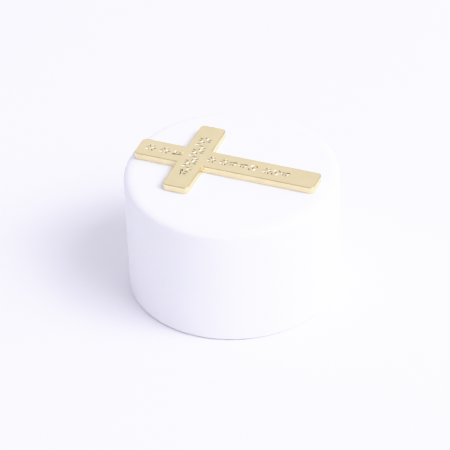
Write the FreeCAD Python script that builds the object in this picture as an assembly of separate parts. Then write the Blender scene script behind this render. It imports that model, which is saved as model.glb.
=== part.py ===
"""Low white pillar candle with a flat metal cross pinned to its top.

Frame, in millimetres: +Z up, origin at the centre of the base, +Y towards the head of the cross.
The candle is a pressed wax core with a hard outer coat, a wick on the axis and a wick tab in the
base. The cross lies on the flat top, over the well that holds the trimmed wick. Two pointed pins
on its back stand in blind holes in the wax, so that it lifts straight off before the wick is lit.
"""
import FreeCAD, Part
import math
import os

# Wax body
CANDLE_R = 40.0        # outside radius of the finished candle
CANDLE_H = 49.0        # base to flat top
TOP_ROUND_IN = 5.0     # rounding of the top edge, a quarter ellipse: how far it reaches in
TOP_ROUND_DOWN = 2.6   # and how far it reaches down
BASE_ROUND = 1.2       # rounding of the base edge
COAT = 1.6             # thickness of the hard outer coat
CORE_ROUND = 1.9       # rounding of the core's top edge

# Wick, standing in a well in the top so that the cross can lie flat over it
WICK_R = 1.2
WICK_STAND = 6.0       # length of wick that stands free in the well
WELL_R = 3.6
WELL_DEPTH = 7.2
WICK_FIT = 0.03        # radial gap round the wick in its bore and in the tab's neck

# Wick tab: a stamped disc with a neck, let into the base
TAB_R = 10.0
TAB_T = 0.4
TAB_INSET = 0.3        # how far the disc lies above the resting face
NECK_WALL = 0.4
NECK_H = 4.0
TAB_FIT = 0.15         # gap round the disc and the neck in the wax

# Cross plate: arm lengths are measured from the centre of the crossing
CROSS_T = 2.7
ARM_WIDTH = 10.0       # width of the upright, head and foot
BAR_WIDTH = 10.0       # width of the crossbar
BAR_HALF = 20.0
HEAD_LENGTH = 22.5
FOOT_LENGTH = 48.7
CROSS_SHIFT = 1.5      # middle of the upright, from the candle's axis towards the head
CORNER_R = 1.6         # corners of the arm ends
INNER_R = 0.3          # corners between the arms
EDGE_BREAK = 0.25      # chamfer round the top face

# Pins on the back of the cross
PIN_R = 1.0
PIN_REACH = 6.0        # length below the plate, point included
PIN_POINT = 2.2        # length of the point
TIP_R = 0.15           # blunt end of the point
PIN_SPACING = 34.6     # from the pin under the crossing to the pin under the foot
PIN_FIT = 0.05         # radial gap round the pin in the wax
PIN_END_GAP = 0.3      # below the point
TENON_R = 0.75
TENON_L = 1.4
SOLDER_GAP = 0.02      # round the tenon in its socket

# Sizes that follow from the ones above
CORE_R = CANDLE_R - COAT
CORE_H = CANDLE_H - COAT
CROSSING_Y = CROSS_SHIFT + (FOOT_LENGTH - HEAD_LENGTH) / 2
BORE_R = WICK_R + WICK_FIT
NECK_R = BORE_R + NECK_WALL
WELL_FLOOR = CANDLE_H - WELL_DEPTH
PIN_PLACES = {
    "cross_pin_crossing": CROSSING_Y,
    "cross_pin_foot": CROSSING_Y - PIN_SPACING,
}


def point(x, y, z):
    return FreeCAD.Vector(x, y, z)


def cylinder(radius, low, high, y=0.0):
    """Upright cylinder between two heights, its axis at x = 0."""
    return Part.makeCylinder(radius, high - low, point(0, y, low))


def turned_body(radius, height, round_in, round_down, base_round):
    """Round body on the Z axis, its top edge rounded by a quarter ellipse, its base by an arc."""
    wall_top = height - round_down
    path = [Part.LineSegment(point(0, 0, 0), point(radius - base_round, 0, 0))]
    if base_round > 0:
        middle = base_round * (1 - 0.5 ** 0.5)
        path.append(Part.Arc(point(radius - base_round, 0, 0), point(radius - middle, 0, middle),
                             point(radius, 0, base_round)))
    path.append(Part.LineSegment(point(radius, 0, base_round), point(radius, 0, wall_top)))
    path.append(top_edge(radius, wall_top, round_in, round_down))
    path.append(Part.LineSegment(point(radius - round_in, 0, height), point(0, 0, height)))
    path.append(Part.LineSegment(point(0, 0, height), point(0, 0, 0)))
    profile = Part.Wire([piece.toShape() for piece in path])
    return Part.Face(profile).revolve(point(0, 0, 0), point(0, 0, 1), 360)


def top_edge(radius, wall_top, round_in, round_down):
    """Quarter ellipse or quarter circle from the top of the wall to the flat top."""
    centre = point(radius - round_in, 0, wall_top)
    outer = point(radius, 0, wall_top)
    upper = point(radius - round_in, 0, wall_top + round_down)
    if round_in > round_down:
        return Part.ArcOfEllipse(Part.Ellipse(outer, upper, centre), 0, math.pi / 2)
    if round_in < round_down:
        return Part.ArcOfEllipse(Part.Ellipse(upper, outer, centre), -math.pi / 2, 0)
    lean = round_in * 0.5 ** 0.5
    return Part.Arc(outer, point(centre.x + lean, 0, wall_top + lean), upper)


def spike(y, side_gap=0.0, end_gap=0.0):
    """Pointed pin below the candle's top face, or with gaps added, the hole that it stands in."""
    radius = PIN_R + side_gap
    low = CANDLE_H - PIN_REACH - end_gap
    shank = cylinder(radius, low + PIN_POINT, CANDLE_H, y)
    return shank.fuse(Part.makeCone(TIP_R + side_gap, radius, PIN_POINT, point(0, y, low)))


def well():
    return cylinder(WELL_R, WELL_FLOOR, CANDLE_H)


def pin_holes():
    return Part.makeCompound([spike(y, PIN_FIT, PIN_END_GAP) for y in PIN_PLACES.values()])


def core_blank():
    return turned_body(CORE_R, CORE_H, CORE_ROUND, CORE_ROUND, 0.0)


def outer_wax_coat():
    """Hard coat over the top and the wall, open at the base where the candle was levelled."""
    finished = turned_body(CANDLE_R, CANDLE_H, TOP_ROUND_IN, TOP_ROUND_DOWN, BASE_ROUND)
    return finished.cut(core_blank()).cut(well()).cut(pin_holes())


def wax_core():
    """Pressed core with the wick bore, the foot of the well and the tab's recess."""
    bore = cylinder(BORE_R, 0, CORE_H)
    recess = cylinder(TAB_R + TAB_FIT, 0, TAB_INSET + TAB_T)
    neck_room = cylinder(NECK_R + TAB_FIT, 0, TAB_INSET + NECK_H + TAB_FIT)
    return core_blank().cut(bore).cut(recess).cut(neck_room).cut(well()).cut(pin_holes())


def wick():
    return cylinder(WICK_R, TAB_INSET, WELL_FLOOR + WICK_STAND)


def wick_tab():
    """Stamped disc with a neck that grips the wick."""
    disc = cylinder(TAB_R, TAB_INSET, TAB_INSET + TAB_T)
    neck = cylinder(NECK_R, TAB_INSET, TAB_INSET + NECK_H)
    return disc.fuse(neck).cut(cylinder(BORE_R, TAB_INSET, TAB_INSET + NECK_H))


def upright_edges(shape, wanted):
    """Edges parallel to Z whose place passes the test."""
    edges = []
    for edge in shape.Edges:
        start = edge.Vertexes[0].Point
        end = edge.Vertexes[-1].Point
        if abs(start.z - end.z) > CROSS_T / 2 and wanted(start.x, start.y - CROSSING_Y):
            edges.append(edge)
    return edges


def cross_plate():
    """Flat cross with rounded arm ends, a broken top edge and sockets for its pins."""
    upright = Part.makeBox(ARM_WIDTH, HEAD_LENGTH + FOOT_LENGTH, CROSS_T,
                           point(-ARM_WIDTH / 2, CROSSING_Y - FOOT_LENGTH, CANDLE_H))
    bar = Part.makeBox(2 * BAR_HALF, BAR_WIDTH, CROSS_T,
                       point(-BAR_HALF, CROSSING_Y - BAR_WIDTH / 2, CANDLE_H))
    plate = upright.fuse(bar).removeSplitter()

    def between_arms(x, y):
        return abs(x) < ARM_WIDTH and abs(y) < BAR_WIDTH

    inner = upright_edges(plate, between_arms)
    plate = plate.makeFillet(INNER_R, inner)
    outer = upright_edges(plate, lambda x, y: not between_arms(x, y))
    plate = plate.makeFillet(CORNER_R, outer)
    top = CANDLE_H + CROSS_T
    rim = [edge for edge in plate.Edges if edge.BoundBox.ZMin > top - EDGE_BREAK / 2]
    plate = plate.makeChamfer(EDGE_BREAK, rim)
    for y in PIN_PLACES.values():
        socket_top = CANDLE_H + TENON_L + SOLDER_GAP
        plate = plate.cut(cylinder(TENON_R + SOLDER_GAP, CANDLE_H, socket_top, y))
    return plate


def cross_pin(y):
    """Pointed pin with a tenon that is soldered into the plate."""
    tenon = cylinder(TENON_R, CANDLE_H, CANDLE_H + TENON_L, y)
    return spike(y).fuse(tenon)


def nodes():
    pieces = {
        "outer_wax_coat": outer_wax_coat(),
        "wax_core": wax_core(),
        "wick": wick(),
        "wick_tab": wick_tab(),
        "cross_plate": cross_plate(),
    }
    for name, y in PIN_PLACES.items():
        pieces[name] = cross_pin(y)
    return pieces


os.makedirs("parts", exist_ok=True)
for name, shape in nodes().items():
    solids = shape.Solids
    solid = solids[0] if len(solids) == 1 else Part.makeCompound(solids)
    box = solid.BoundBox
    solid.exportStep(f"parts/{name}.step")
    print(f"{name}: {len(solids)} solid, {solid.Volume:.1f} mm3, valid {solid.isValid()}, "
          f"x {box.XMin:.2f} to {box.XMax:.2f}, y {box.YMin:.2f} to {box.YMax:.2f}, "
          f"z {box.ZMin:.2f} to {box.ZMax:.2f}")
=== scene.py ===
# %% [markdown]
# # A white pillar candle with a pinned cross
#
# The object is a low, round candle for a wedding table. A hard white coat covers a pressed wax
# core, and a flat gold cross lies on the top, held by two pins that stand in the wax. The
# construction is already fixed: it comes in as a frame of plain pieces at their real size. Each
# cell below gives one piece or one finish its real look around that frame.
#
# Everything is in metres, with the base on the floor at zero height and +Y towards the head of
# the cross.

# %% Load the frame
import math
import random

import bpy
from mathutils import Matrix, Vector, noise


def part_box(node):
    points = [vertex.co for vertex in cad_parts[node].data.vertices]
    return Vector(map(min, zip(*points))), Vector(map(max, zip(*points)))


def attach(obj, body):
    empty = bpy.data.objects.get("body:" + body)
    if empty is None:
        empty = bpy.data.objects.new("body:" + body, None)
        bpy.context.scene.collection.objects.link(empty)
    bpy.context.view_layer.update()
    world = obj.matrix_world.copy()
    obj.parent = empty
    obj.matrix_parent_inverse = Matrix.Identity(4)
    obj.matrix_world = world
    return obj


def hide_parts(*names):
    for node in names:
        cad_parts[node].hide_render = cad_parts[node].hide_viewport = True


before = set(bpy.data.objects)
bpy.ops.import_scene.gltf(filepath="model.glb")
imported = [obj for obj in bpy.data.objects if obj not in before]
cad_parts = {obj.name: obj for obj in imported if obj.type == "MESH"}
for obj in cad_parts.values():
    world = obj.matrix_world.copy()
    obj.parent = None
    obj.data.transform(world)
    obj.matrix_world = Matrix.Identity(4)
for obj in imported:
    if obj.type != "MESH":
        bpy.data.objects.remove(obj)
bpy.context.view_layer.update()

MM = 0.001
scene = bpy.context.scene

# %% [markdown]
# ## Sizes from the frame
#
# A new piece has to sit exactly where the construction says. The outer sizes come from each
# piece's box. The sizes inside a box, such as the radius of the well in the top, could be typed in
# again, but they are measured from the corners of the frame's own meshes, so that they stay right
# if the construction changes.


# %% Measure the candle
def corners(node, keep):
    """Corners of a frame piece that pass a test."""
    return [v.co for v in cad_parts[node].data.vertices if keep(v.co)]


def from_axis(point):
    """Distance from the candle's axis."""
    return math.hypot(point.x, point.y)


NEAR = 0.01 * MM
coat_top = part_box("outer_wax_coat")[1].z
wall_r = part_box("outer_wax_coat")[1].x
core_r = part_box("wax_core")[1].x
core_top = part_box("wax_core")[1].z
top_rings = [from_axis(p) for p in corners("outer_wax_coat", lambda p: p.z > coat_top - NEAR)]
base_rings = [from_axis(p) for p in corners("outer_wax_coat", lambda p: p.z < NEAR)]
top_round_in = wall_r - max(top_rings)
wall_top = max(p.z for p in corners("outer_wax_coat", lambda p: from_axis(p) > wall_r - NEAR))
well_r = min(top_rings)
base_round = wall_r - max(base_rings)
print(f"candle: radius {wall_r / MM:.2f}, top {coat_top / MM:.2f}, top edge {top_round_in / MM:.2f} in "
      f"and {(coat_top - wall_top) / MM:.2f} down, base edge {base_round / MM:.2f}, "
      f"well {well_r / MM:.2f}, core {core_r / MM:.2f} mm")

# %% Measure the cross
plate_low, plate_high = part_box("cross_plate")
pin_boxes = [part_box("cross_pin_crossing"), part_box("cross_pin_foot")]
pin_places = [(low + high) / 2 for low, high in pin_boxes]
pin_r = (pin_boxes[0][1].x - pin_boxes[0][0].x) / 2
crossing_y = pin_places[0].y
bar_half = plate_high.x
head_end = plate_high.y
foot_end = plate_low.y
arm_half = max(p.x for p in corners("cross_plate", lambda p: p.y < crossing_y - bar_half))
bar_side = max(p.y for p in corners("cross_plate", lambda p: p.x > 2 * arm_half)) - crossing_y
corner_r = arm_half - max(p.x for p in corners("cross_plate", lambda p: p.y > head_end - NEAR))
print(f"cross: bar {2 * bar_half / MM:.1f}, head {(head_end - crossing_y) / MM:.1f}, foot "
      f"{(crossing_y - foot_end) / MM:.1f}, arms {2 * arm_half / MM:.1f} and {2 * bar_side / MM:.1f}, "
      f"corners {corner_r / MM:.2f} mm")

# %% [markdown]
# ## Camera
#
# The candle is seen from a long way off through a long lens, from about 36 degrees above the
# table, so the top reads as an ellipse and the walls stay nearly parallel. A long lens could be
# replaced by a near one with a wider view, but then the wall would taper towards the table. The
# camera is tipped by a couple of degrees, as a hand-held one is.

# %% Camera
LENS = 274.9
CAMERA_AWAY = 1034.21 * MM
CAMERA_UP = 787.66 * MM
CAMERA_SIDE = math.radians(-67.425)
AIM_RIGHT = -3.202 * MM
AIM_UP = 23.691 * MM
TILT = math.radians(-2.308)

toward = Vector((math.sin(CAMERA_SIDE), -math.cos(CAMERA_SIDE), 0))
sideways = Vector((math.cos(CAMERA_SIDE), math.sin(CAMERA_SIDE), 0))
eye = toward * CAMERA_AWAY + Vector((0, 0, CAMERA_UP))
back = (eye - sideways * AIM_RIGHT - Vector((0, 0, AIM_UP))).normalized()
level = Vector((0, 0, 1)).cross(back).normalized()
upright = back.cross(level)
right = level * math.cos(TILT) + upright * math.sin(TILT)
up = back.cross(right)
camera_data = bpy.data.cameras.new("camera")
camera_data.lens = LENS
camera_data.clip_end = 20
camera = bpy.data.objects.new("camera", camera_data)
camera.matrix_world = Matrix.Translation(eye) @ Matrix((right, up, back)).transposed().to_4x4()
scene.collection.objects.link(camera)
scene.camera = camera
print("camera at", [round(c, 3) for c in eye])

# %% [markdown]
# ## Shader arithmetic
#
# A finish is a small graph of nodes, and most of what it says is arithmetic: this noise times
# that, one minus a mask. Written node by node, that takes a page. So one small class wraps a
# socket and lets Python's own operators add the Math nodes, and one method adds every other kind
# of node: its settings first, then the values or links of its sockets.


# %% A socket that does arithmetic
class Wire:
    """An output of a shader node, or the start of a graph when it has no socket."""

    def __init__(self, tree, socket=None):
        self.tree = tree
        self.socket = socket

    def node(self, kind, settings=None, inputs=None, output=0):
        made = self.tree.nodes.new(kind)
        for name, value in (settings or {}).items():
            setattr(made, name, value)
        for name, value in (inputs or {}).items():
            if isinstance(value, Wire):
                self.tree.links.new(value.socket, made.inputs[name])
            else:
                made.inputs[name].default_value = value
        return Wire(self.tree, made.outputs[output])

    def math(self, operation, *values):
        return self.node("ShaderNodeMath", {"operation": operation}, dict(enumerate(values)))

    def __add__(self, other):
        return self.math("ADD", self, other)

    def __sub__(self, other):
        return self.math("SUBTRACT", self, other)

    def __rsub__(self, other):
        return self.math("SUBTRACT", other, self)

    def __mul__(self, other):
        return self.math("MULTIPLY", self, other)

    __radd__ = __add__
    __rmul__ = __mul__

    def span(self, low, high):
        """Stretches the part of a value between two limits to run from 0 to 1."""
        return self.node("ShaderNodeMapRange", {"clamp": True},
                         {"Value": self, "From Min": low, "From Max": high})

    def pick(self, first, second):
        """Mixes two colours, with this value as the share of the second."""
        return self.node("ShaderNodeMix", {"data_type": "RGBA"}, {0: self, 6: first, 7: second}, 2)


# %% Start a finish and feed its shader
def finish(name, **constants):
    """A material with its constants on the shader's own sockets."""
    material = bpy.data.materials.new(name)
    material.use_nodes = True
    shader = material.node_tree.nodes["Principled BSDF"]
    for socket, value in constants.items():
        shader.inputs[socket.replace("_", " ")].default_value = value
    return material, shader, Wire(material.node_tree)


def feed(shader, **wires):
    """Links what varies over the surface to the shader."""
    for socket, wire in wires.items():
        wire.tree.links.new(wire.socket, shader.inputs[socket.replace("_", " ")])


def grain(start, size, detail=2.0, stretch=(1, 1, 1), rough=0.5):
    """Noise whose features are about `size` metres across, fixed to the object."""
    place = start.node("ShaderNodeTexCoord", output=3)
    place = start.node("ShaderNodeMapping", None, {"Vector": place, "Scale": stretch})
    return start.node("ShaderNodeTexNoise", None,
                      {"Vector": place, "Scale": 1 / size, "Detail": detail, "Roughness": rough})


def relief(start, height, depth, strength=1.0):
    """Bump from a height that runs from 0 to 1 over `depth` metres."""
    return start.node("ShaderNodeBump", None,
                      {"Height": height, "Distance": depth, "Strength": strength})


def srgb(red, green, blue):
    """A colour from 0 to 255 values, as linear light with full alpha."""
    def linear(value):
        value = value / 255
        return value / 12.92 if value <= 0.04045 else ((value + 0.055) / 1.055) ** 2.4
    return (linear(red), linear(green), linear(blue), 1.0)


print("shader helpers are ready")

# %% [markdown]
# ## White wax
#
# The coat is a hard, pigmented overdip: very white, almost opaque, with a soft satin sheen. Plain
# white plastic would look dead, because wax lets light in a little and out again nearby. So the
# shader has a short subsurface radius, under a millimetre, which softens edges without making the
# candle glow. Dipping leaves slow waves a centimetre across and a fine skin, which show only in
# the sheen, so they go to roughness and bump, with a trace of cloudiness in the colour.


# %% Wax finishes
def coat_wax():
    material, shader, start = finish("coat_wax", Subsurface_Weight=0.5, Subsurface_Scale=0.7 * MM,
                                     Subsurface_Radius=(1.0, 0.92, 0.85), IOR=1.44,
                                     Specular_IOR_Level=0.42)
    clouds = grain(start, 14 * MM, detail=3)
    skin = grain(start, 0.7 * MM, detail=3)
    waves = grain(start, 9 * MM, detail=1, stretch=(1, 1, 0.6))
    feed(shader,
         Base_Color=clouds.span(0.3, 0.7).pick(srgb(245, 246, 252), srgb(248, 249, 255)),
         Roughness=0.42 + 0.10 * clouds + 0.05 * skin,
         Normal=relief(start, 0.9 * waves + 0.02 * skin, 0.35 * MM, 0.35))
    return material


def core_wax():
    """Pressed wax: small granules fused together, a little creamier than the coat."""
    material, shader, start = finish("core_wax", Subsurface_Weight=0.4, Subsurface_Scale=0.8 * MM,
                                     Subsurface_Radius=(1.0, 0.9, 0.78), IOR=1.44,
                                     Specular_IOR_Level=0.35)
    place = start.node("ShaderNodeTexCoord", output=3)
    granules = start.node("ShaderNodeTexVoronoi", {"feature": "SMOOTH_F1"},
                          {"Vector": place, "Scale": 1 / (1.1 * MM), "Smoothness": 0.35})
    shade = grain(start, 6 * MM)
    feed(shader,
         Base_Color=(0.7 * granules + 0.3 * shade).span(0.1, 0.8).pick(srgb(247, 245, 238),
                                                                      srgb(233, 230, 219)),
         Roughness=0.5 + 0.2 * granules,
         Normal=relief(start, 1 - granules, 0.12 * MM, 0.8))
    return material


wax_white = coat_wax()
wax_pressed = core_wax()
print("wax finishes:", wax_white.name, wax_pressed.name)

# %% [markdown]
# ## Gold plate
#
# The cross is plated brass in a pale champagne gold. Its top was blasted with fine beads, which
# gives an even satin. The edges were only polished, so they throw back the white wax around them
# and look brighter than the top. Where the top meets the edge, a hair line of deeper brass colour
# is painted shade: it stands in for the dark reflection that the rounded edge catches. The
# engraving has two kinds of cut: bright ones, polished smooth and painted paler as a painted
# highlight, and deep ones painted dark as painted shade in their hollows. All five finishes share
# one way of being metal and differ in colour, roughness and texture, so one function makes them all.


# %% Gold finishes
PALE_GOLD = srgb(250, 237, 194)
PALE_GOLD_DEEP = srgb(245, 230, 183)


def gold(name, light, deep, roughness, spread, bead, depth):
    """Metal with two near colours and a bead-blasted texture of one size and depth."""
    material, shader, start = finish(name, Metallic=1.0)
    beads = grain(start, bead, detail=3, rough=0.6)
    tone = grain(start, 5 * MM)
    feed(shader,
         Base_Color=(0.6 * tone + 0.4 * beads).span(0.3, 0.7).pick(deep, light),
         Roughness=roughness + spread * (tone - 0.5) + spread * (beads - 0.5),
         Normal=relief(start, beads, depth, 0.5))
    return material


gold_satin = gold("gold_satin", PALE_GOLD, PALE_GOLD_DEEP, 0.38, 0.10, 0.16 * MM, 0.016 * MM)
gold_polished = gold("gold_polished", srgb(248, 235, 200), srgb(243, 228, 187), 0.21, 0.05,
                     0.5 * MM, 0.006 * MM)
# Painted shade: a darker brass colour on the top edge's round, standing in for the dark reflection
# there.
gold_painted_shade_edge = gold("gold_edge_painted_shade", srgb(238, 221, 172), srgb(216, 196, 142), 0.30, 0.10,
                 0.3 * MM, 0.006 * MM)
# Partly polish, partly painted highlight: the bright cuts are smoother, and painted paler than the
# top's gold.
gold_polish_and_painted_highlight = gold("gold_cut_polish_and_painted_highlight", srgb(250, 242, 216), srgb(243, 231, 197), 0.32, 0.06,
                   0.3 * MM, 0.003 * MM)
# Painted shade: the deep cuts are painted dark brown to stand in for the shade in their hollows.
gold_painted_shade_cut = gold("gold_cut_painted_shade", srgb(158, 143, 104), srgb(118, 105, 74), 0.42, 0.10,
                 0.2 * MM, 0.004 * MM)
print("gold finishes:", gold_satin.name, gold_polished.name, gold_painted_shade_edge.name, gold_polish_and_painted_highlight.name,
      gold_painted_shade_cut.name)

# %% [markdown]
# ## Cotton and tinplate
#
# The wick is bleached cotton, primed with wax so that it stands. Fine streaks along the yarn give
# it its fibres. The tab under the candle is tinned steel, soft grey and faintly rolled.


# %% Wick and tab finishes
def cotton():
    material, shader, start = finish("primed_cotton", Sheen_Weight=0.25, Sheen_Roughness=0.5)
    fibre = grain(start, 0.12 * MM, detail=3, stretch=(1, 1, 0.35))
    feed(shader,
         Base_Color=fibre.span(0.3, 0.7).pick(srgb(226, 219, 202), srgb(245, 241, 230)),
         Roughness=0.7 + 0.2 * fibre,
         Normal=relief(start, fibre, 0.05 * MM, 0.7))
    return material


def tinplate():
    material, shader, start = finish("tinplate", Metallic=1.0)
    rolled = grain(start, 0.25 * MM, detail=3, stretch=(1, 0.06, 1))
    bloom = grain(start, 3 * MM)
    feed(shader,
         Base_Color=bloom.pick(srgb(196, 197, 198), srgb(214, 214, 212)),
         Roughness=0.26 + 0.12 * rolled + 0.12 * bloom,
         Normal=relief(start, rolled, 0.01 * MM, 0.5))
    return material


yarn = cotton()
tin = tinplate()
print("small finishes:", yarn.name, tin.name)

# %% [markdown]
# ## A lathe
#
# The coat and the tab are round, so both are turned: a closed profile is spun about the axis. A
# Screw modifier could do it, but a few lines of mesh code give control of every ring, which the
# coat needs for its slight waves.


# %% Turn a closed profile
def arc(centre, radius, start, end, steps):
    """Points on an arc in the profile's plane, angles in degrees, both ends included."""
    turn = [math.radians(start + (end - start) * k / steps) for k in range(steps + 1)]
    return [(centre[0] + radius * math.cos(a), centre[1] + radius * math.sin(a)) for a in turn]


def new_piece(name, points, faces, *materials):
    """A mesh object in the scene, with its material slots filled."""
    mesh = bpy.data.meshes.new(name)
    mesh.from_pydata(points, [], faces)
    for material in materials:
        mesh.materials.append(material)
    mesh.update()
    piece = bpy.data.objects.new(name, mesh)
    scene.collection.objects.link(piece)
    return piece


def turned(name, profile, segments, material, soften=None):
    """Spins a closed profile of (radius, height) points, and moves each point by `soften`."""
    points = []
    for radius, height in profile:
        for k in range(segments):
            turn = 2 * math.pi * k / segments
            point = Vector((radius * math.cos(turn), radius * math.sin(turn), height))
            points.append(soften(point) if soften else point)
    faces = []
    for ring in range(len(profile)):
        above = (ring + 1) % len(profile)
        for k in range(segments):
            beside = (k + 1) % segments
            faces.append((ring * segments + k, ring * segments + beside,
                          above * segments + beside, above * segments + k))
    return new_piece(name, points, faces, material)


def smooth(piece, angle=35):
    """Smooth shading, with edges sharper than the angle kept."""
    piece.data.shade_smooth()
    piece.data.set_sharp_from_angle(angle=math.radians(angle))


print("lathe is ready")

# %% [markdown]
# ## The dipped coat
#
# The coat is a cup of wax turned upside down over the core: an outer wall, a flat top with the
# wick's well through it, and an inner face that touches the core. The top edge isn't a plain
# quarter circle. Wax that runs off a flat top bends slowly at first and quickly at the end, so the
# edge is a quarter of an oval that reaches further in than down. The real surface was dipped and
# never machined, so the outside drifts by a few hundredths of a millimetre. The inside keeps its
# exact place.

# %% Coat profile
LIP = 0.3 * MM
TOP_RINGS = 14
WALL_RINGS = 10
TOP_EDGE_STEPS = 24
BASE_EDGE_STEPS = 5
LIP_STEPS = 4
CORE_EDGE_STEPS = 6


def evenly(first, last, count):
    """Points strictly between two ends."""
    return [first + (last - first) * k / (count + 1) for k in range(1, count + 1)]


def quarter_oval(centre, across, rise, steps):
    """Points on a quarter of an ellipse, from its side to its top, both ends included."""
    turn = [math.pi / 2 * k / steps for k in range(steps + 1)]
    return [(centre[0] + across * math.cos(a), centre[1] + rise * math.sin(a)) for a in turn]


def coat_profile():
    flat_r = wall_r - top_round_in
    core_flat_r = max(from_axis(p) for p in corners("wax_core", lambda p: p.z > core_top - NEAR))
    core_round = core_r - core_flat_r
    profile = [(core_r, 0.0)]
    profile += arc((wall_r - base_round, base_round), base_round, -90, 0, BASE_EDGE_STEPS)
    profile += [(wall_r, height) for height in evenly(base_round, wall_top, WALL_RINGS)]
    profile += quarter_oval((flat_r, wall_top), top_round_in, coat_top - wall_top, TOP_EDGE_STEPS)
    profile += [(radius, coat_top) for radius in evenly(flat_r, well_r + LIP, TOP_RINGS)]
    profile += arc((well_r + LIP, coat_top - LIP), LIP, 90, 180, LIP_STEPS)
    profile += [(well_r, core_top)]
    profile += arc((core_flat_r, core_top - core_round), core_round, 90, 0, CORE_EDGE_STEPS)
    return profile


print("coat profile:", len(coat_profile()), "points")

# %% Dip the coat
COAT_SEGMENTS = 256
WAVE = 0.05 * MM
WAVE_SIZE = 22 * MM
WAVE_BIAS = 0.4


def dipped(point):
    """Lets the outer surface drift a little, and leaves the base, the well and the inside alone."""
    away = from_axis(point)
    outside = away > core_r + NEAR or point.z > core_top + NEAR
    if not outside or point.z < base_round or away < 2 * well_r:
        return point
    drift = WAVE * min(0.0, noise.noise(point / WAVE_SIZE) - WAVE_BIAS)
    if point.z < wall_top:
        return point + Vector((point.x, point.y, 0)).normalized() * drift
    return point + Vector((0, 0, drift))


coat = turned("dipped_coat", coat_profile(), COAT_SEGMENTS, wax_white, dipped)
print("coat:", len(coat.data.vertices), "corners")

# %% [markdown]
# ## Pin holes in the wax
#
# The pins leave two round holes when the cross is lifted off. Painted dark spots would do from far
# away, but the holes are real: two short cylinders are taken out of the coat with an exact
# Boolean.

# %% Drill the holes
def cylinder_points(x, y, radius, low, high, sides):
    turns = [2 * math.pi * k / sides for k in range(sides)]
    ring = [(x + radius * math.cos(a), y + radius * math.sin(a)) for a in turns]
    points = [(px, py, low) for px, py in ring] + [(px, py, high) for px, py in ring]
    faces = [tuple(reversed(range(sides))), tuple(range(sides, 2 * sides))]
    faces += [(k, (k + 1) % sides, sides + (k + 1) % sides, sides + k) for k in range(sides)]
    return points, faces


def cut_away(piece, cutter):
    """Takes one mesh out of another, for good, and removes the cutter."""
    modifier = piece.modifiers.new("cut", "BOOLEAN")
    modifier.operation = "DIFFERENCE"
    modifier.solver = "EXACT"
    modifier.use_self = True
    modifier.object = cutter
    with bpy.context.temp_override(object=piece, active_object=piece):
        bpy.ops.object.modifier_apply(modifier=modifier.name)
    bpy.data.objects.remove(cutter)


PIN_GAP = 0.05 * MM
DRILL_MARGIN = 1 * MM
HOLE_SIDES = 32
drill_low = core_top - 2 * DRILL_MARGIN
drill_high = coat_top + DRILL_MARGIN
for place in pin_places:
    drill = cylinder_points(place.x, place.y, pin_r + PIN_GAP, drill_low, drill_high, HOLE_SIDES)
    cut_away(coat, new_piece("drill", *drill, wax_white))
smooth(coat)
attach(coat, "candle")
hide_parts("outer_wax_coat")
print("coat drilled:", len(coat.data.polygons), "faces")

# %% [markdown]
# ## The pressed core
#
# The core shows only at the base and inside the well. Its shape in the frame is already right, so
# it keeps its mesh and only takes on the pressed wax.

# %% Core
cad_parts["wax_core"].data.materials.clear()
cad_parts["wax_core"].data.materials.append(wax_pressed)
print("core finished")

# %% [markdown]
# ## The cross plate
#
# The plate is a flat Latin cross with rounded arm ends. It could be two boxes joined together,
# but then the corners and the softened edge would have to be cut afterwards. Here the outline is
# written once, as a function of how far it is drawn in, and the plate is a stack of such outlines:
# the wall, then a small round at the top edge, then the flat top.

# %% Cross outline
EDGE = 0.25 * MM
EDGE_STEPS = 4
FOOT_EDGE = 0.1 * MM
INNER_R = 0.3 * MM
CORNER_STEPS = 8


def cross_outline(inset, height):
    """The cross's outline, anticlockwise from above, drawn in by `inset`."""
    side = crossing_y
    turns = [
        (arm_half, foot_end, -90, True), (arm_half, side - bar_side, 90, False),
        (bar_half, side - bar_side, -90, True), (bar_half, side + bar_side, 0, True),
        (arm_half, side + bar_side, 180, False), (arm_half, head_end, 0, True),
        (-arm_half, head_end, 90, True), (-arm_half, side + bar_side, 270, False),
        (-bar_half, side + bar_side, 90, True), (-bar_half, side - bar_side, 180, True),
        (-arm_half, side - bar_side, 0, False), (-arm_half, foot_end, 180, True),
    ]
    outline = []
    for x, y, start, outward in turns:
        quarter = math.radians(start + 45)
        reach = corner_r if outward else INNER_R
        across = math.cos(quarter) * math.sqrt(2)
        along = math.sin(quarter) * math.sqrt(2)
        centre = (x - across * reach, y - along * reach)
        radius = corner_r - inset if outward else INNER_R + inset
        if outward:
            bend = arc(centre, radius, start, start + 90, CORNER_STEPS)
        else:
            bend = arc(centre, radius, start + 90, start, CORNER_STEPS)
        outline += [(px, py, height) for px, py in bend]
    return outline


def plate_mesh():
    low = plate_low.z
    high = plate_high.z
    rows = [cross_outline(FOOT_EDGE, low), cross_outline(0, low + FOOT_EDGE)]
    for step in range(EDGE_STEPS + 1):
        turn = math.pi / 2 * step / EDGE_STEPS
        rows.append(cross_outline(EDGE * (1 - math.cos(turn)), high - EDGE * (1 - math.sin(turn))))
    count = len(rows[0])
    points = [point for row in rows for point in row]
    faces = [tuple(reversed(range(count)))]
    for row in range(len(rows) - 1):
        for k in range(count):
            beside = (k + 1) % count
            faces.append((row * count + k, row * count + beside,
                          (row + 1) * count + beside, (row + 1) * count + k))
    faces.append(tuple(range((len(rows) - 1) * count, len(rows) * count)))
    return points, faces


PLATE_FINISHES = (gold_satin, gold_polished, gold_painted_shade_edge, gold_polish_and_painted_highlight, gold_painted_shade_cut)
FLAT, SIDE, SHADE_LINE, BRIGHT, DARK = range(len(PLATE_FINISHES))


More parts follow.
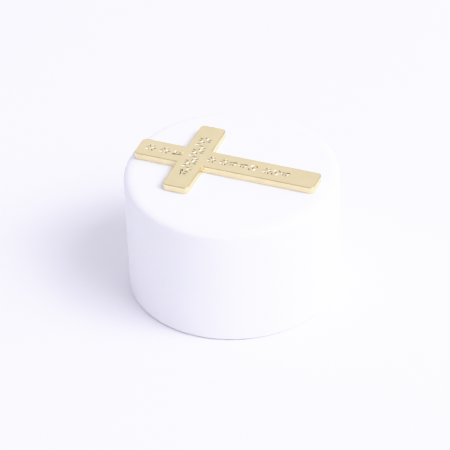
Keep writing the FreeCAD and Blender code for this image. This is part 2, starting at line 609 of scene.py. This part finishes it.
def plate_finish(face):
    """Satin on the flats, a painted shade line on the top edge and polish on the sides."""
    if abs(face.normal.z) > 0.9999:
        return FLAT
    return SHADE_LINE if face.center.z > plate_high.z - EDGE else SIDE


plate = new_piece("engraved_cross", *plate_mesh(), *PLATE_FINISHES)
for face in plate.data.polygons:
    face.material_index = plate_finish(face)
print("plate:", len(plate.data.polygons), "faces")

# %% [markdown]
# ## Bright-cut engraving
#
# A row of ornament runs along each arm. It is cut with a V-shaped graver, which is pushed into the
# metal, dips and comes out again, so each cut is a slim boat with two flat sides. A bump texture
# can't give those flat, sharp facets, so every cut is real. One function makes the shape that the
# graver sweeps, a motif is a few of them, and all of them are taken out of the plate in one
# Boolean. There are two gravers: a wide, shallow one whose sides are polished and painted paler
# as a painted highlight, and a narrow, steep one whose sides are painted dark as painted shade.
# Each is given by half its width at the surface, the depth that it reaches, and the finish that
# it leaves.

# %% Two gravers
# The bright graver's finish is painted paler as a painted highlight; the dark graver's finish is
# painted shade.
BRIGHT_GRAVER = {"half": 0.27 * MM, "depth": 0.17 * MM, "finish": BRIGHT}
DARK_GRAVER = {"half": 0.20 * MM, "depth": 0.24 * MM, "finish": DARK}
STATIONS = 8  # sections along one cut
ABOVE = 0.2 * MM  # how far the swept shape stands out of the metal


def stroke(x, y, heading, length, graver):
    """The swept shape of one cut: centre, heading in degrees and length at the surface."""
    depth = graver["depth"]
    run = length / 2 * math.sqrt(1 + ABOVE / depth)
    along = Vector((math.cos(math.radians(heading)), math.sin(math.radians(heading)), 0))
    across = Vector((-along.y, along.x, 0))
    keel, left_side, right_side = [], [], []
    for k in range(STATIONS + 1):
        share = -1 + 2 * k / STATIONS
        sink = (depth + ABOVE) * (1 - share * share)
        middle = Vector((x, y, plate_high.z + ABOVE)) + along * run * share
        half = sink * graver["half"] / depth
        keel.append(middle - Vector((0, 0, sink)))
        left_side.append(middle + across * half)
        right_side.append(middle - across * half)
    return keel, left_side, right_side


print("gravers cut", BRIGHT_GRAVER["depth"] / MM, "and", DARK_GRAVER["depth"] / MM, "mm deep")


# %% Close the swept shape
def add_stroke(points, faces, finishes, x, y, heading, length, graver):
    """Adds one closed boat to the lists: a keel, two gunwales and a flat deck."""
    keel, left_side, right_side = stroke(x, y, heading, length, graver)
    last = STATIONS
    base = len(points)
    points.append(keel[0])
    for k in range(1, last):
        points.extend((keel[k], left_side[k], right_side[k]))
    points.append(keel[last])
    bow = base
    stern = base + 1 + 3 * (last - 1)

    def at(k, part):
        return base + 1 + 3 * (k - 1) + part

    made = [(bow, at(1, 1), at(1, 0)), (bow, at(1, 0), at(1, 2)), (bow, at(1, 2), at(1, 1))]
    for k in range(1, last - 1):
        made.append((at(k, 0), at(k, 1), at(k + 1, 1), at(k + 1, 0)))
        made.append((at(k, 2), at(k, 0), at(k + 1, 0), at(k + 1, 2)))
        made.append((at(k, 1), at(k, 2), at(k + 1, 2), at(k + 1, 1)))
    made.append((stern, at(last - 1, 0), at(last - 1, 1)))
    made.append((stern, at(last - 1, 2), at(last - 1, 0)))
    made.append((stern, at(last - 1, 1), at(last - 1, 2)))
    faces.extend(made)
    finishes.extend([graver["finish"]] * len(made))


print("one cut has", 3 * STATIONS - 1, "corners")

# %% [markdown]
# ## Motifs and where they go
#
# Each motif is a list of cuts about its own centre, in millimetres, with its first direction along
# the arm: a place, a heading, a length and a graver. They are a plain six-petalled floret, a
# lozenge and a garland of three leaves, which belong to nobody. Each row stretches its motifs
# along the arm and across it, and those on the crossbar are the tallest. The rows leave the ends of
# the arms plain, as an engraver does.


# %% Motifs
def floret():
    """Six bright petals, longer across the arm than along it, with dark cuts between them."""
    cuts = []
    for k in range(6):
        turn = math.radians(60 * k + 30)
        x, y = 1.0 * math.cos(turn), 1.15 * math.sin(turn)
        cuts.append((x, y, math.degrees(math.atan2(y, x)), 1.6, BRIGHT_GRAVER))
    for k in range(6):
        turn = math.radians(60 * k)
        x, y = 1.25 * math.cos(turn), 1.35 * math.sin(turn)
        cuts.append((x, y, math.degrees(math.atan2(y, x)), 1.1, DARK_GRAVER))
    return cuts


def lozenge():
    """Four bright cuts round a diamond, with dark cuts in its middle and on two of its sides."""
    cuts = [(sx * 0.68, sy * 0.95, -sx * sy * 55, 1.8, BRIGHT_GRAVER) for sx in (1, -1)
            for sy in (1, -1)]
    cuts += [(0, 0, 90, 1.5, DARK_GRAVER)]
    return cuts + [(1.2, 1.1, -55, 1.5, DARK_GRAVER), (-1.2, -1.1, -55, 1.3, DARK_GRAVER)]


def garland():
    """A dark stem along one side, with three bright leaves that hang from it."""
    cuts = [(-1.15, -0.25, 78, 1.8, BRIGHT_GRAVER), (0.05, -0.35, 96, 2.0, BRIGHT_GRAVER),
            (1.2, -0.3, 72, 1.7, BRIGHT_GRAVER)]
    cuts += [(-0.55, -0.3, 84, 1.1, DARK_GRAVER), (0.65, -0.5, 84, 1.2, DARK_GRAVER)]
    return cuts + [(-0.5, 0.75, 8, 2.6, DARK_GRAVER), (0.9, 1.0, 14, 2.2, DARK_GRAVER),
                   (1.3, 0.7, 14, 1.6, DARK_GRAVER)]


BAR_ROW = [(-10.8, garland), (-7.3, lozenge), (-3.8, floret), (-0.2, lozenge), (3.4, floret),
           (7.0, lozenge), (10.9, floret)]
HEAD_ROW = [(6.5, garland), (11.7, floret), (17.4, floret)]
FOOT_ROW = [(6.9, floret), (11.9, floret), (14.8, garland), (19.0, garland), (23.2, lozenge),
            (28.9, floret), (32.2, lozenge), (35.6, garland)]
ROWS = [(BAR_ROW, 0, 1.05, 1.45), (HEAD_ROW, 90, 1.2, 1.05), (FOOT_ROW, -90, 1.0, 1.05)]
print("motifs:", sum(len(row) for row, *_ in ROWS))


# %% Engrave the plate
def cutter_mesh():
    points, faces, finishes = [], [], []
    for row, heading, wide, tall in ROWS:
        turn = Matrix.Rotation(math.radians(heading), 2)
        for place, motif in row:
            for x, y, angle, length, graver in motif():
                reach = Vector((wide * math.cos(math.radians(angle)),
                                tall * math.sin(math.radians(angle)))) * length
                lean = math.degrees(math.atan2(reach.y, reach.x))
                spot = turn @ Vector((place + x * wide, y * tall)) * MM
                add_stroke(points, faces, finishes, spot.x, crossing_y + spot.y,
                           heading + lean, reach.length * MM, graver)
    return points, faces, finishes


points, faces, finishes = cutter_mesh()
cutter = new_piece("cutter", points, faces, *PLATE_FINISHES)
for face, kind in zip(cutter.data.polygons, finishes):
    face.material_index = kind
cut_away(plate, cutter)
smooth(plate, 25)
for face in plate.data.polygons:
    if face.material_index in (BRIGHT, DARK):
        face.use_smooth = False
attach(plate, "cross")
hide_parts("cross_plate")
print("engraved:", len(plate.data.polygons), "faces")

# %% [markdown]
# ## Pins
#
# The two pins are plain turned pegs with blunt points, and their shape in the frame is right, so
# they keep it. They were polished with the cross's sides and take the same finish.

# %% Pins
for name in ("cross_pin_crossing", "cross_pin_foot"):
    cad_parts[name].data.materials.clear()
    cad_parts[name].data.materials.append(gold_polished)
print("pins finished")

# %% [markdown]
# ## The braided wick
#
# The wick stands in the well, hidden until the cross is lifted. It is a round braid: half the
# strands wind one way and half the other, and each passes over the next and under the one after.
# That is one formula: every strand is a helix whose radius rises and falls, and the two sets rise
# in turn.

# %% Braid
wick_low, wick_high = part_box("wick")
WICK_PITCH = 7 * MM
STRANDS_EACH_WAY = 4
STRAND_R = 0.36 * MM
BRAID_R = 0.66 * MM
LIFT = 0.16 * MM
STEP = 0.3 * MM
STRAND_SIDES = 7
BRAID_SEED = 7


def strand_path(way, index, low, high):
    """Points along one strand of the braid."""
    count = round((high - low) / STEP)
    path = []
    for k in range(count + 1):
        z = low + (high - low) * k / count
        wind = 2 * math.pi * z / WICK_PITCH
        turn = way * wind + 2 * math.pi * index / STRANDS_EACH_WAY
        radius = BRAID_R + way * LIFT * math.cos(STRANDS_EACH_WAY * wind)
        path.append(Vector((radius * math.cos(turn), radius * math.sin(turn), z)))
    return path


def add_tube(points, faces, path, radius, sides):
    """A closed tube round a path that climbs."""
    base = len(points)
    for k, middle in enumerate(path):
        ahead = path[min(k + 1, len(path) - 1)] - path[max(k - 1, 0)]
        outward = Vector((middle.x, middle.y, 0)).normalized()
        sideways_dir = ahead.cross(outward).normalized()
        outward = sideways_dir.cross(ahead).normalized()
        for s in range(sides):
            turn = 2 * math.pi * s / sides
            spot = middle + (outward * math.cos(turn) + sideways_dir * math.sin(turn)) * radius
            points.append(Vector((spot.x, spot.y, min(max(spot.z, wick_low.z), wick_high.z))))
    for k in range(len(path) - 1):
        for s in range(sides):
            beside = (s + 1) % sides
            faces.append((base + k * sides + s, base + k * sides + beside,
                          base + (k + 1) * sides + beside, base + (k + 1) * sides + s))
    end = base + (len(path) - 1) * sides
    faces.append(tuple(reversed(range(base, base + sides))))
    faces.append(tuple(range(end, end + sides)))


points, faces = [], []
uneven = random.Random(BRAID_SEED)
for way in (1, -1):
    for index in range(STRANDS_EACH_WAY):
        tip = wick_high.z - STRAND_R * uneven.random()
        add_tube(points, faces, strand_path(way, index, wick_low.z, tip), STRAND_R, STRAND_SIDES)
wick = new_piece("braided_wick", points, faces, yarn)
smooth(wick, 60)
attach(wick, "candle")
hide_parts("wick")
print("wick:", len(wick.data.vertices), "corners")

# %% [markdown]
# ## The wick tab
#
# A thin stamped disc sits in the base, with a neck that is pressed round the wick. The frame has
# its plain shape. The real one has a rolled rim and a stiffening ring, so it is turned again with
# those, inside the same space.

# %% Tab profile
tab_low, tab_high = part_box("wick_tab")
tab_r = tab_high.x
TAB_SEGMENTS = 96
PRESSED_RINGS = (0.45, 0.75)  # where the two rings lie, as shares of the disc's radius
RING_HALF = 0.5 * MM
RING_FLOOR_HALF = 0.2 * MM
RING_PRESS = 0.45  # depth of a ring, as a share of the sheet
NECK_BEND = 0.4 * MM
NECK_BREAK = 0.1 * MM
tab_sheet = min(p.z for p in corners("wick_tab", lambda p: p.z > tab_low.z + NEAR)) - tab_low.z
neck_r = max(from_axis(p) for p in corners("wick_tab", lambda p: p.z > tab_high.z - NEAR))
bore_r = min(from_axis(p) for p in corners("wick_tab", lambda p: p.z > tab_high.z - NEAR))


def tab_profile():
    under = tab_low.z
    over = under + tab_sheet
    rim = tab_sheet / 2
    pressed = under + RING_PRESS * tab_sheet
    profile = [(bore_r, under)]
    for share in PRESSED_RINGS:
        ring = share * tab_r
        profile += [(ring - RING_HALF, under), (ring - RING_FLOOR_HALF, pressed),
                    (ring + RING_FLOOR_HALF, pressed), (ring + RING_HALF, under)]
    profile += arc((tab_r - rim, under + rim), rim, -90, 90, 6)
    profile += [(neck_r + NECK_BEND, over)]
    profile += arc((neck_r + NECK_BEND, over + NECK_BEND), NECK_BEND, 270, 180, 4)[1:]
    profile += [(neck_r, tab_high.z - NECK_BREAK), (neck_r - NECK_BREAK, tab_high.z)]
    profile += [(bore_r, tab_high.z)]
    return profile


tab = turned("stamped_wick_tab", tab_profile(), TAB_SEGMENTS, tin)
smooth(tab, 40)
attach(tab, "candle")
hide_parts("wick_tab")
print("tab:", len(tab.data.vertices), "corners")

# %% [markdown]
# ## Floor
#
# The candle stands on a plain pale sweep of paper. A studio sweep curves up behind the object, but
# from this height only its flat part is seen, so a large flat sheet is enough.

# %% Floor
FLOOR_HALF = 3.0
floor_paper, shader, start = finish("pale_floor", Specular_IOR_Level=0.2)
fibres = grain(start, 1.5 * MM, detail=3)
feed(shader, Base_Color=fibres.pick(srgb(244, 243, 246), srgb(246, 245, 248)),
     Roughness=0.75 + 0.1 * fibres)
floor = new_piece("floor", [(-FLOOR_HALF, -FLOOR_HALF, -NEAR), (FLOOR_HALF, -FLOOR_HALF, -NEAR),
                            (FLOOR_HALF, FLOOR_HALF, -NEAR), (-FLOOR_HALF, FLOOR_HALF, -NEAR)],
                  [(0, 1, 2, 3)], floor_paper)
print("floor laid")

# %% [markdown]
# ## Light
#
# The set is high key: pale light comes from all round. A large soft box high on the right is the
# key, and lays a pale shadow to the left. A small low one at the right edge brightens that side of
# the wall, and a wide weak one behind the candle puts the sheen on the gold.

# %% World
SKY_COLOUR = (0.905, 0.885, 1.0, 1.0)
SKY_STRENGTH = 0.775
world = bpy.data.worlds.new("studio")
world.use_nodes = True
scene.world = world
sky = world.node_tree.nodes["Background"]
sky.inputs["Color"].default_value = SKY_COLOUR
sky.inputs["Strength"].default_value = SKY_STRENGTH
print("light from all round at", SKY_STRENGTH)


# %% Lamps
def softbox(name, azimuth, elevation, distance, size, power):
    """A square soft light aimed at the candle, placed by its direction as the camera sees it."""
    data = bpy.data.lights.new(name, "AREA")
    data.shape = "SQUARE"
    data.size = size
    data.energy = power
    lamp = bpy.data.objects.new(name, data)
    swing = CAMERA_SIDE + math.radians(azimuth)
    rise = math.radians(elevation)
    outward = Vector((math.sin(swing) * math.cos(rise), -math.cos(swing) * math.cos(rise),
                      math.sin(rise)))
    lamp.location = outward * distance + Vector((0, 0, coat_top / 2))
    lamp.rotation_euler = outward.to_track_quat("Z", "Y").to_euler()
    scene.collection.objects.link(lamp)


softbox("key", azimuth=60, elevation=48, distance=1.6, size=1.1, power=15.5)
softbox("side", azimuth=90, elevation=20, distance=1.6, size=0.5, power=3.5)
softbox("back", azimuth=180, elevation=37, distance=2.0, size=2.0, power=2.2)
print("lights are on")

# %% [markdown]
# ## Exposure
#
# White wax on white paper is lit almost to the limit. A straight conversion would clip the bright
# side to a flat white patch, with the edge of the candle lost in it. Film and cameras roll the
# last tenth of the range off softly instead, so a curve does the same: it leaves everything up to
# nine tenths alone and bends what is brighter towards white. A second curve lifts only blue, and
# only there, which keeps the whites cool.

# %% Soft shoulder
RANGE = 3.0
SHOULDER = [(0.3, 0.3), (0.6, 0.6), (0.8, 0.8), (0.9, 0.9), (0.95, 0.932), (1.0, 0.947),
            (1.05, 0.956), (1.1, 0.964), (1.15, 0.973), (1.2, 0.981), (1.3, 0.990), (1.5, 0.996),
            (2.1, 0.999)]
COOL_WHITES = [(0.3, 0.3), (0.6, 0.6), (0.8, 0.8), (0.9, 0.905), (0.93, 0.945), (0.96, 1.02),
               (1.0, 1.13), (1.05, 1.21), (1.1, 1.28), (1.15, 1.34), (1.2, 1.4), (1.3, 1.5),
               (1.5, 1.68), (2.1, 2.2)]

view = scene.view_settings
view.view_transform = "Standard"
view.use_curve_mapping = True
mapping = view.curve_mapping
mapping.use_clip = False
mapping.white_level = (RANGE, RANGE, RANGE)
for light, shown in SHOULDER:
    mapping.curves[3].points.new(light / RANGE, shown)
for light, lifted in COOL_WHITES:
    mapping.curves[2].points.new(light / RANGE, lifted / RANGE)
mapping.update()
mapping.initialize()
print("white rolls off from", SHOULDER[3][0], "and is reached at", RANGE)
